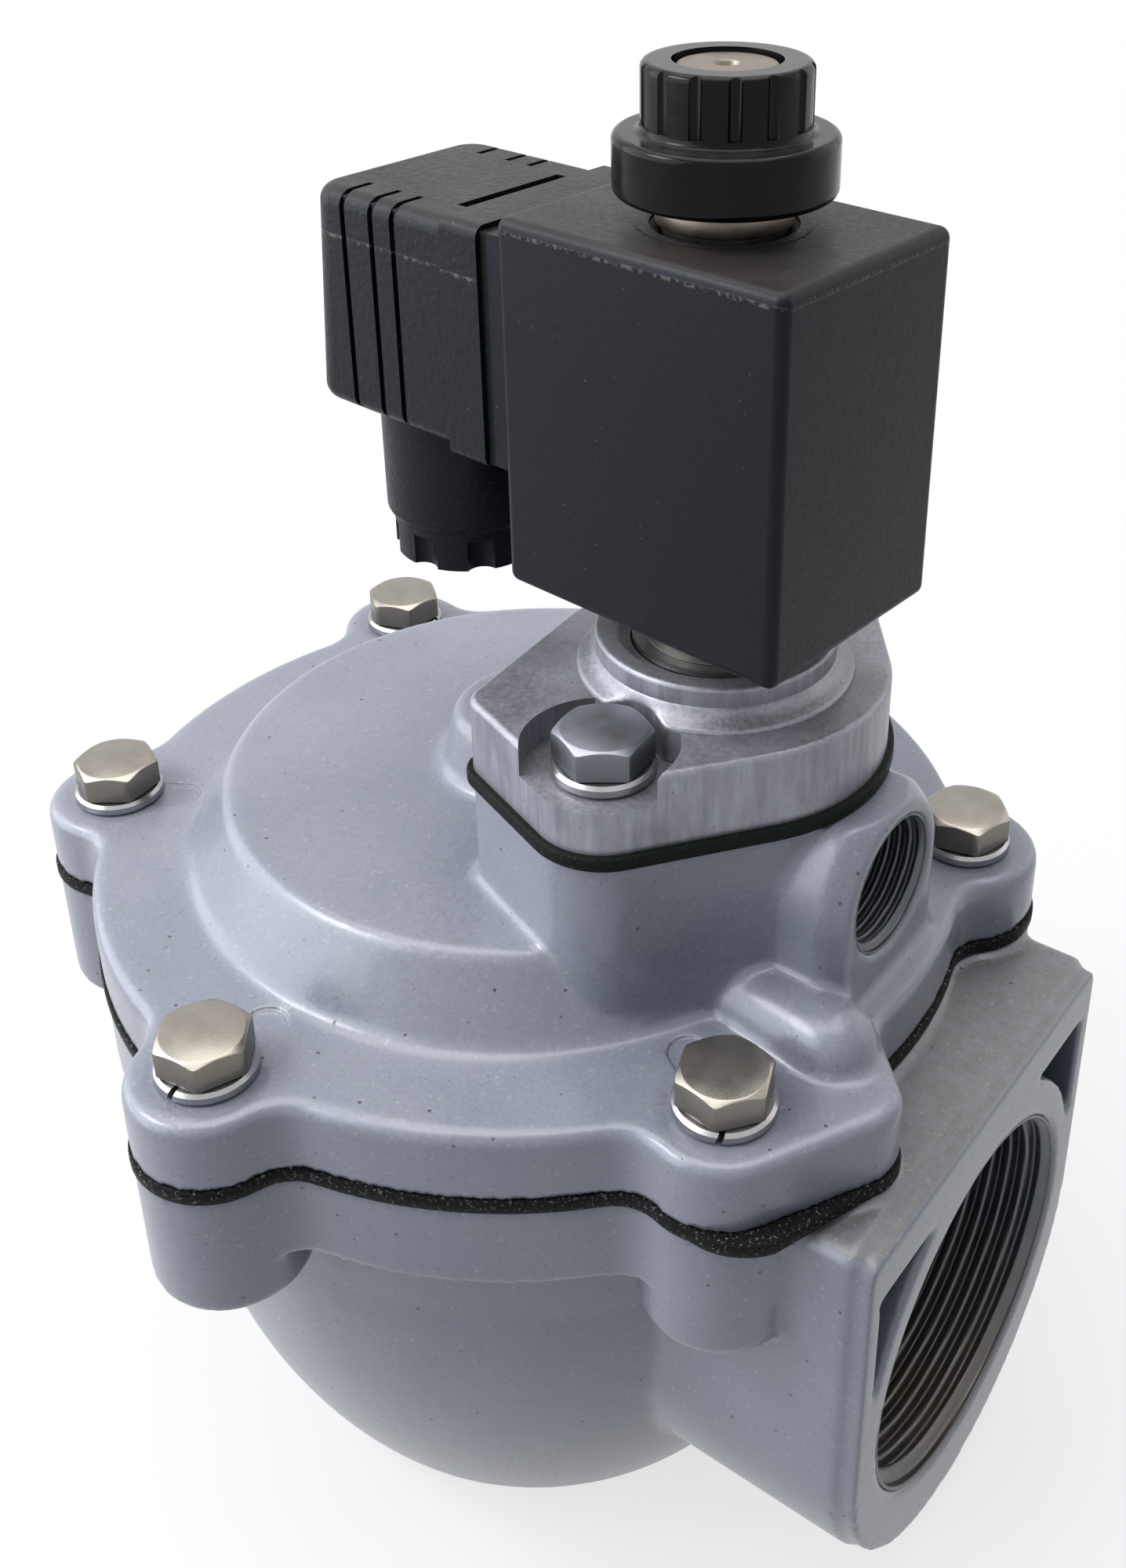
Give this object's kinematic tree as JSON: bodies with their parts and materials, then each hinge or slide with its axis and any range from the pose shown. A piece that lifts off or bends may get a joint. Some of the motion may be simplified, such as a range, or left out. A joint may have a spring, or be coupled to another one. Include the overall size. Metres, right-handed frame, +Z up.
{
  "type": "diaphragm pulse valve",
  "caption": "Right-angle diaphragm pulse valve with threaded inlet and outlet, bolted domed bonnet and a solenoid pilot with a plug connector.",
  "frame": {"origin": "centre of the bottom outlet face, on the main axis", "axes": "+Z up along the main axis, +X out of the inlet port"},
  "size_m": [0.1281, 0.1336, 0.1885],
  "materials": {
    "casting_paint": "satin",
    "machined_aluminium": "machined",
    "stainless": "satin",
    "spring_steel": "satin",
    "black_rubber": "matte",
    "black_moulding": "textured",
    "gloss_black": "gloss",
    "copper_wire": "enamelled wire",
    "brass_blade": "tinned"
  },
  "bodies": {
    "valve": {"body": "casting_paint", "bonnet": "casting_paint", "main_diaphragm": "black_rubber", "main_spring": "spring_steel", "flange_bolt_1": "stainless", "flange_bolt_2": "stainless", "flange_bolt_3": "stainless", "flange_bolt_4": "stainless", "flange_bolt_5": "stainless", "flange_bolt_6": "stainless", "flange_lock_washer_1": "stainless", "flange_lock_washer_2": "stainless", "flange_lock_washer_3": "stainless", "flange_lock_washer_4": "stainless", "flange_lock_washer_5": "stainless", "flange_lock_washer_6": "stainless", "pilot_plate": "machined_aluminium", "pilot_diaphragm": "black_rubber", "pilot_spring": "spring_steel", "pilot_bolt_1": "stainless", "pilot_bolt_2": "stainless", "pilot_lock_washer_1": "stainless", "pilot_lock_washer_2": "stainless", "armature_tube": "stainless", "tube_ring": "black_rubber", "fixed_core": "stainless", "plunger_spring": "spring_steel"},
    "main_poppet": {"main_seat_pad": "black_rubber", "diaphragm_lower_plate": "stainless", "diaphragm_upper_plate": "stainless", "centre_screw": "stainless", "centre_nut": "stainless"},
    "pilot_poppet": {"pilot_cup": "stainless"},
    "plunger": {"plunger": "stainless", "plunger_seal": "black_rubber"},
    "coil": {"coil_housing": "black_moulding", "coil_bobbin": "black_moulding", "coil_winding": "copper_wire", "coil_yoke": "stainless", "coil_top_ring": "black_rubber", "live_blade_1": "brass_blade", "live_blade_2": "brass_blade", "earth_blade": "brass_blade", "plug_flat_seal": "black_rubber", "plug_housing": "black_moulding", "terminal_block": "black_moulding", "plug_screw": "stainless", "gland_nut": "black_moulding", "gland_washer": "stainless", "gland_grommet": "black_rubber"},
    "knob": {"knob_nut": "gloss_black"}
  },
  "joints": [
    {"name": "main_lift", "type": "slide", "parent": "valve", "child": "main_poppet", "axis": [0, 0, 1], "range_m": [0, 0.009], "stiffness_N_per_m": 1200, "springref_m": -0.008, "deforming": ["main_diaphragm", "main_spring"]},
    {"name": "pilot_lift", "type": "slide", "parent": "valve", "child": "pilot_poppet", "axis": [0, 0, 1], "range_m": [0, 0.003], "stiffness_N_per_m": 800, "springref_m": -0.003, "deforming": ["pilot_diaphragm", "pilot_spring"]},
    {"name": "plunger_lift", "type": "slide", "parent": "valve", "child": "plunger", "axis": [0, 0, 1], "range_m": [0, 0.002], "stiffness_N_per_m": 400, "springref_m": -0.004, "deforming": ["plunger_spring"]},
    {"name": "coil_swivel", "type": "hinge", "parent": "valve", "child": "coil", "pos_m": [0.0286, 0, 0.1292], "axis": [0, 0, 1], "continuous": true},
    {"name": "knob_turn", "type": "hinge", "parent": "valve", "child": "knob", "pos_m": [0.0286, 0, 0.1752], "axis": [0, 0, 1], "continuous": true}
  ]
}
